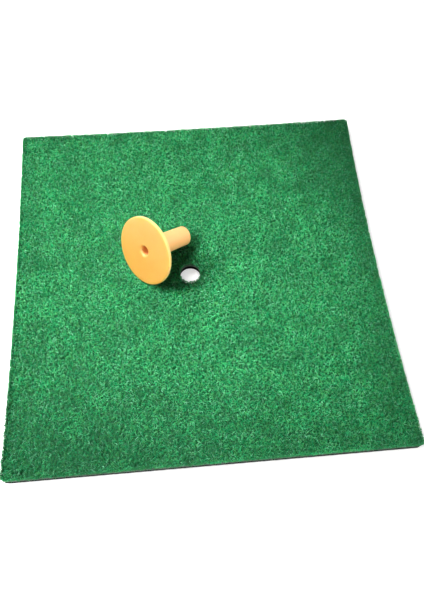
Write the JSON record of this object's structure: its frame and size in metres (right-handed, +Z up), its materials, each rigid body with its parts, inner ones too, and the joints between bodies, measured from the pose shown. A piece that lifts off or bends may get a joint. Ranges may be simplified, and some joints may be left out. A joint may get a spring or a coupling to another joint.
{
  "type": "golf hitting mat",
  "caption": "Square short-pile green turf hitting mat on a thin black foam base, with a round tee hole and a loose one-piece rubber tee lying beside it.",
  "frame": {"origin": "on the floor under the centre of the mat", "axes": "+X to the right and +Y to the back, along the mat's sides, with the tee lying left of the hole; +Z up, out of the turf"},
  "size_m": [0.2997, 0.2999, 0.0613],
  "materials": {
    "turf_yarn": "curled nylon turf yarn, mottled mid and dark green",
    "backing_cloth": "woven polypropylene, dark",
    "latex": "cured latex film, dull",
    "foam": "matt black closed-cell foam",
    "tee_rubber": "satin moulded yellow-orange rubber"
  },
  "bodies": {
    "mat": {"foam_base": "foam", "latex_bond": "latex", "primary_backing": "backing_cloth", "turf_pile": "turf_yarn"},
    "tee": {"rubber_tee": "tee_rubber"}
  },
  "joints": [
    {"name": "tee_lift", "type": "slide", "parent": "mat", "child": "tee", "axis": [0, 0, 1], "range_m": [0, 0.1]}
  ]
}
